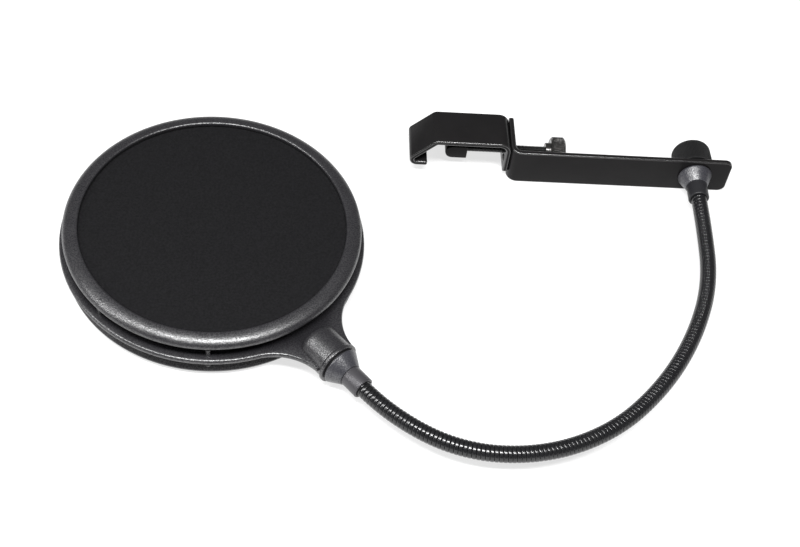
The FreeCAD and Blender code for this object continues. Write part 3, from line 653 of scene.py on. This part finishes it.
def make_knob():
    """The knob that tightens the swivel, with its washer."""
    washer_end = SHEET + KNOB_WASHER
    far = washer_end + KNOB_LENGTH
    washer = lathe("knob_seat", rounded([
        (STUD_BORE, SHEET), (WASHER_RADIUS, SHEET, 0.2), (WASHER_RADIUS, washer_end, 0.2),
        (STUD_BORE, washer_end),
    ], 3), STUD_PLACE, WASHER, "knob_washer", closed=True)
    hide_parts("knob_washer")
    outline = rounded([
        (INSERT_BORE, washer_end),
        (KNOB_RADIUS, washer_end, 0.5),
        (KNOB_FAR_RADIUS, far, KNOB_ROUND),
        (0.01, far),
    ], 8)
    body = lathe("knob_body", subdivided(outline, 0.8), STUD_PLACE, KNOB, "knob", segments=720,
                 shape=knob_flutes, sharp=50)
    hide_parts("knob")


# --- clamp -----------------------------------------------------------------------------------------

def end_distances(length, corner):
    """Distances along a strip, close together where its ends are rounded."""
    near = [0.0, 0.03, 0.08, 0.16, 0.28, 0.42, 0.6]
    near += [corner * (1 - math.cos(math.pi / 2 * step / 12)) for step in range(1, 13)]
    near = sorted(set(near))
    return near + [length - distance for distance in reversed(near)]


def inset(distance, radius):
    """How far a rounded corner of that radius cuts in at a distance from the end."""
    if distance >= radius:
        return 0.0
    return radius - math.sqrt(radius ** 2 - (radius - distance) ** 2)


def strip_section(half_width, half_thickness, edge):
    """(across, through) points of a strip's section with rounded edges."""
    edge = min(edge, half_width, half_thickness)
    points = []
    for corner, (across, through) in enumerate(((1, 1), (-1, 1), (-1, -1), (1, -1))):
        for step in range(CORNER_POINTS):
            angle = math.pi / 2 * (corner + step / (CORNER_POINTS - 1))
            points.append((across * (half_width - edge) + edge * math.cos(angle),
                           through * (half_thickness - edge) + edge * math.sin(angle)))
    return points


def bent_strip(name, corners, along, across, origin, corner_start, corner_end, body):
    """Sheet metal bent along an outline.  corners are (x, y, middle bend radius) in the plane of the
    along directions, and across is the direction of its width."""
    outline = rounded(corners, 14)
    route = [Vector(point) for point in outline]
    lengths = [0.0]
    for start, end in zip(route, route[1:]):
        lengths.append(lengths[-1] + (end - start).length)
    total = lengths[-1]
    stations = sorted(set(lengths + end_distances(total, max(corner_start, corner_end))))
    points = []
    edge = STRIP_EDGE
    for station in stations:
        number = min(int(np.searchsorted(lengths, station, side="right")) - 1, len(route) - 2)
        share = (station - lengths[number]) / (lengths[number + 1] - lengths[number])
        place = route[number].lerp(route[number + 1], share)
        ahead = route[number + 1] - route[number]
        if share < 1e-6 and number > 0:
            ahead = ahead.normalized() + (route[number] - route[number - 1]).normalized()
        ahead = ahead.normalized()
        normal = Vector((-ahead.y, ahead.x))
        trim = max(inset(station, corner_start), inset(total - station, corner_end))
        nose = max(inset(station, edge), inset(total - station, edge))
        half_width = STRIP_WIDTH / 2 - max(trim, nose)
        for side, through in strip_section(half_width, SHEET / 2 - nose, edge - nose * 0.9):
            flat = place + normal * through
            points.append(origin + along[0] * flat.x + along[1] * flat.y + across * side)
    around = 4 * CORNER_POINTS
    faces = grid_faces(len(stations), around)
    # The last face of each corner's group joins it to the next corner, and is a flat one.
    eased = [number for number in range(around * (len(stations) - 1))
             if number % CORNER_POINTS != CORNER_POINTS - 1]
    return new_piece(name, points, faces, BRACKET, body, sharp=40, edge_material=BRACKET_EDGE,
                     edge_faces=eased)


def make_bar():
    """The flat bar on edge, with the flange that carries the screw."""
    half = SHEET / 2
    flange = FLANGE_X + half
    bar = bent_strip(
        "clamp_bar",
        [(flange, FLANGE_REACH), (flange, half, BAR_BEND - half), (BAR_END_X, half)],
        (Vector((1, 0, 0)), Vector((0, 1, 0))), Vector((0, 0, 1)),
        Vector((CLAMP_X, BAR_FRONT, STRIP_WIDTH / 2)), FLANGE_CORNER, BAR_CORNER, "clamp_base")
    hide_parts("bar")


def make_hook():
    """The strip that is riveted to the bar's flange and bent into the hook."""
    half = SHEET / 2
    bend = HOOK_BEND - half
    flange = FLANGE_X - half
    top = HOOK_TOP - half
    low = HOOK_BOTTOM + half
    low_centre = Vector((HOOK_X + HOOK_BEND, HOOK_BOTTOM + HOOK_BEND))
    # Where the slanting stretch's middle line meets the level stretches' middle lines.
    across = Vector((-math.sin(HOOK_SLOPE), math.cos(HOOK_SLOPE)))
    on_slope = low_centre + across * bend
    foot = (on_slope.x + (low - on_slope.y) / math.tan(HOOK_SLOPE), low)
    crest = (on_slope.x + (top - on_slope.y) / math.tan(HOOK_SLOPE), top)
    hook = bent_strip(
        "clamp_hook",
        [(LIP_X, low), (foot[0], foot[1], bend), (crest[0], crest[1], bend),
         (flange, top, HOOK_FLANGE_BEND - half), (flange, HOOK_FLANGE_BOTTOM)],
        (Vector((1, 0, 0)), Vector((0, 0, 1))), Vector((0, 1, 0)),
        Vector((CLAMP_X, BAR_FRONT + SHEET + STRIP_WIDTH / 2, 0)), 1.0, FLANGE_CORNER, "clamp_base")
    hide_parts("hook")


def make_rivets():
    """Domed rivet heads on both sides of the two flanges."""
    left = FLANGE_X - SHEET
    right = FLANGE_X + SHEET
    quarter = [math.pi / 2 * step / 8 for step in range(9)]
    dome = [(max(RIVET_HEAD_RADIUS * math.cos(angle), 0.01), RIVET_HEAD * math.sin(angle))
            for angle in quarter]
    for name, offset in (("rivet_near", -RIVET_OFFSET), ("rivet_far", RIVET_OFFSET)):
        place = Matrix.Translation((0, offset, 0)) @ SCREW_PLACE
        outline = [(radius, left - height) for radius, height in reversed(dome)]
        outline += [(RIVET_RADIUS, left), (RIVET_RADIUS, right)]
        outline += [(radius, right + height) for radius, height in dome]
        rivet = lathe(name + "_domed", outline, place, SCREW, "clamp_base", segments=40)
        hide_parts(name)


def thread_shape(radius, angle, height):
    """A V thread's radius at an angle and height."""
    if radius < SCREW_RADIUS - 0.01:
        return radius
    phase = (height / SCREW_PITCH - angle / FULL_TURN) % 1.0
    return SCREW_RADIUS - THREAD_DEPTH * abs(2 * phase - 1)


def knurl_shape(radius, angle, height):
    """Diamond knurling: two families of grooves that cross."""
    if radius < SCREW_HEAD_RADIUS - 0.15:
        return radius
    around = angle * KNURL_COUNT / FULL_TURN
    along = height * KNURL_COUNT / (FULL_TURN * SCREW_HEAD_RADIUS)
    first = abs(math.remainder(around + along, 1.0)) * 2
    second = abs(math.remainder(around - along, 1.0)) * 2
    depth = max(0.0, 1 - min(first, second) / 0.62)
    return radius - KNURL_DEPTH * depth


def make_clamp_screw():
    """The threaded rod, which runs into the jaw, and its knurled head with a collar."""
    head_start = COLLAR_X + COLLAR_LENGTH
    head_end = head_start + SCREW_HEAD_LENGTH
    rod_start = JAW_BACK_X - ROD_IN_JAW
    core = SCREW_RADIUS - 0.5
    outline = [(0.01, rod_start), (core, rod_start)]
    steps = round((COLLAR_X + 1 - rod_start) / (SCREW_PITCH / 6))
    outline += [(SCREW_RADIUS, rod_start + 0.3 + step * SCREW_PITCH / 6) for step in range(steps)]
    outline += [(core, COLLAR_X + 2), (0.01, COLLAR_X + 2)]
    rod = lathe("screw_thread", outline, SCREW_PLACE, THREAD, "screw", segments=32, shape=thread_shape,
                sharp=50)
    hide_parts("screw_rod")
    face = SCREW_HEAD_RADIUS - SCREW_HEAD_CHAMFER
    outline = rounded([
        (2.55, COLLAR_X),
        (COLLAR_RADIUS, COLLAR_X, 0.5),
        (COLLAR_RADIUS, head_start, 0.2),
        (face, head_start, 0.2),
        (SCREW_HEAD_RADIUS, head_start + SCREW_HEAD_CHAMFER, 0.2),
        (SCREW_HEAD_RADIUS, head_end - SCREW_HEAD_CHAMFER, 0.2),
        (face, head_end, 0.3),
        (3.4, head_end, 0.3),
        (3.0, head_end - 0.5, 0.2),
        (0.01, head_end - 0.5),
    ], 4)
    head = lathe("screw_knurled_head", subdivided(outline, 0.18), SCREW_PLACE, SCREW, "screw", segments=312,
                 shape=knurl_shape, sharp=50)
    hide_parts("screw_head")


def make_jaw():
    """The jaw: a square block with a rounded nose and eased edges."""
    stations = [JAW_NOSE_X + JAW_ROUND * (1 - math.cos(math.pi / 2 * step / 12)) for step in range(13)]
    stations += [JAW_BACK_X - JAW_BACK_EDGE, JAW_BACK_X - 0.3, JAW_BACK_X - 0.1, JAW_BACK_X]
    points = []
    for station in stations:
        from_nose = station - JAW_NOSE_X
        from_back = inset(JAW_BACK_X - station, JAW_BACK_EDGE)
        tall = JAW_HALF - inset(from_nose, JAW_ROUND) - from_back
        wide = JAW_HALF - inset(from_nose, JAW_SIDE_ROUND) - from_back
        for across, through in strip_section(wide, tall, JAW_LONG_EDGE):
            points.append((CLAMP_X + station, SCREW_Y + across, SCREW_Z + through))
    faces = grid_faces(len(stations), 4 * CORNER_POINTS)
    jaw = new_piece("jaw_block", points, faces, BRACKET, "jaw", sharp=40)
    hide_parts("jaw")


def dress_hidden_nodes():
    """Materials for the frame's own nodes that still show through gaps."""
    finishes = {
        "front_hoop": HOOP, "rear_hoop": HOOP, "hub_insert": BRASS, "knob_insert": BRASS,
        "head_stud": STEEL, "clamp_stud": STEEL, "thread_bush": SCREW,
    }
    for node, finish in finishes.items():
        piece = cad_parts[node]
        piece.data.materials.clear()
        piece.data.materials.append(finish)


# --- studio ----------------------------------------------------------------------------------------

FLOOR_HALF = 3.0
FLOOR_GLOW = 0.70
WORLD_STRENGTH = 0.15
LIGHT_TARGET = (0.10, 0.0, 0.0)
CAMERA_AZIMUTH = math.radians(-8.4)
CAMERA_ELEVATION = math.radians(52.24)
CAMERA_ROLL = math.radians(8.94)
CAMERA_DISTANCE = 0.804
CAMERA_TARGET = Vector((0.09976, -0.00826, 0.0))
CAMERA_LENS = 67.5


def make_floor():
    """A plain grey surface that gives off light, so that it shows pale with faint shadows."""
    size = FLOOR_HALF
    mesh = bpy.data.meshes.new("floor")
    mesh.from_pydata([(-size, -size, 0), (size, -size, 0), (size, size, 0), (-size, size, 0)], [],
                     [(0, 1, 2, 3)])
    pale = material("pale_floor", (0.35, 0.35, 0.35), 0.9, specular=0.1, mottle=0.004)
    glow = pale.node_tree.nodes["Principled BSDF"]
    glow.inputs["Emission Color"].default_value = (1.0, 1.0, 1.0, 1.0)
    glow.inputs["Emission Strength"].default_value = FLOOR_GLOW
    mesh.materials.append(pale)
    floor = bpy.data.objects.new("floor", mesh)
    floor.location.z = -0.0002
    bpy.context.scene.collection.objects.link(floor)


def area_light(name, place, size, power):
    """A rectangular lamp aimed at the middle of the object."""
    light = bpy.data.lights.new(name, "AREA")
    light.shape = "RECTANGLE"
    light.size, light.size_y = size
    light.energy = power
    lamp = bpy.data.objects.new(name, light)
    lamp.location = place
    aim = Vector(LIGHT_TARGET) - Vector(place)
    lamp.rotation_euler = aim.to_track_quat("-Z", "Y").to_euler()
    bpy.context.scene.collection.objects.link(lamp)


def make_studio():
    """Two soft lamps, a dim surround and the floor."""
    bpy.context.scene.view_settings.view_transform = "Standard"
    world = bpy.data.worlds.new("studio")
    world.use_nodes = True
    world.node_tree.nodes["Background"].inputs["Color"].default_value = (1.0, 1.0, 1.0, 1.0)
    world.node_tree.nodes["Background"].inputs["Strength"].default_value = WORLD_STRENGTH
    bpy.context.scene.world = world
    area_light("left_softbox", (-0.70, -0.20, 0.85), (0.10, 1.1), 8.0)
    area_light("front_softbox", (0.05, -0.38, 1.10), (0.80, 0.16), 22.0)
    make_floor()


def make_camera():
    """The camera's place, from its direction, tilt and distance."""
    level_share = math.cos(CAMERA_ELEVATION)
    back = Vector((math.sin(CAMERA_AZIMUTH) * level_share, -math.cos(CAMERA_AZIMUTH) * level_share,
                   math.sin(CAMERA_ELEVATION)))
    data = bpy.data.cameras.new("camera")
    data.lens = CAMERA_LENS
    data.sensor_width = 36.0
    data.clip_start = 0.05
    data.clip_end = 20.0
    camera = bpy.data.objects.new("camera", data)
    level = (-back).to_track_quat("-Z", "Y").to_matrix()
    camera.matrix_world = Matrix.Translation(CAMERA_TARGET + back * CAMERA_DISTANCE) @ (
        level @ Matrix.Rotation(CAMERA_ROLL, 3, "Z")).to_4x4()
    bpy.context.scene.collection.objects.link(camera)
    bpy.context.scene.camera = camera


for side, place in (("front", HEAD_PLACE), ("rear", HEAD_FLIPPED)):
    make_bezel(side, place)
    make_screen(side, place)
make_centre_frame()
make_head_fittings()
make_neck()
make_swivel()
make_knob()
make_bar()
make_hook()
make_rivets()
make_clamp_screw()
make_jaw()
dress_hidden_nodes()
make_studio()
make_camera()
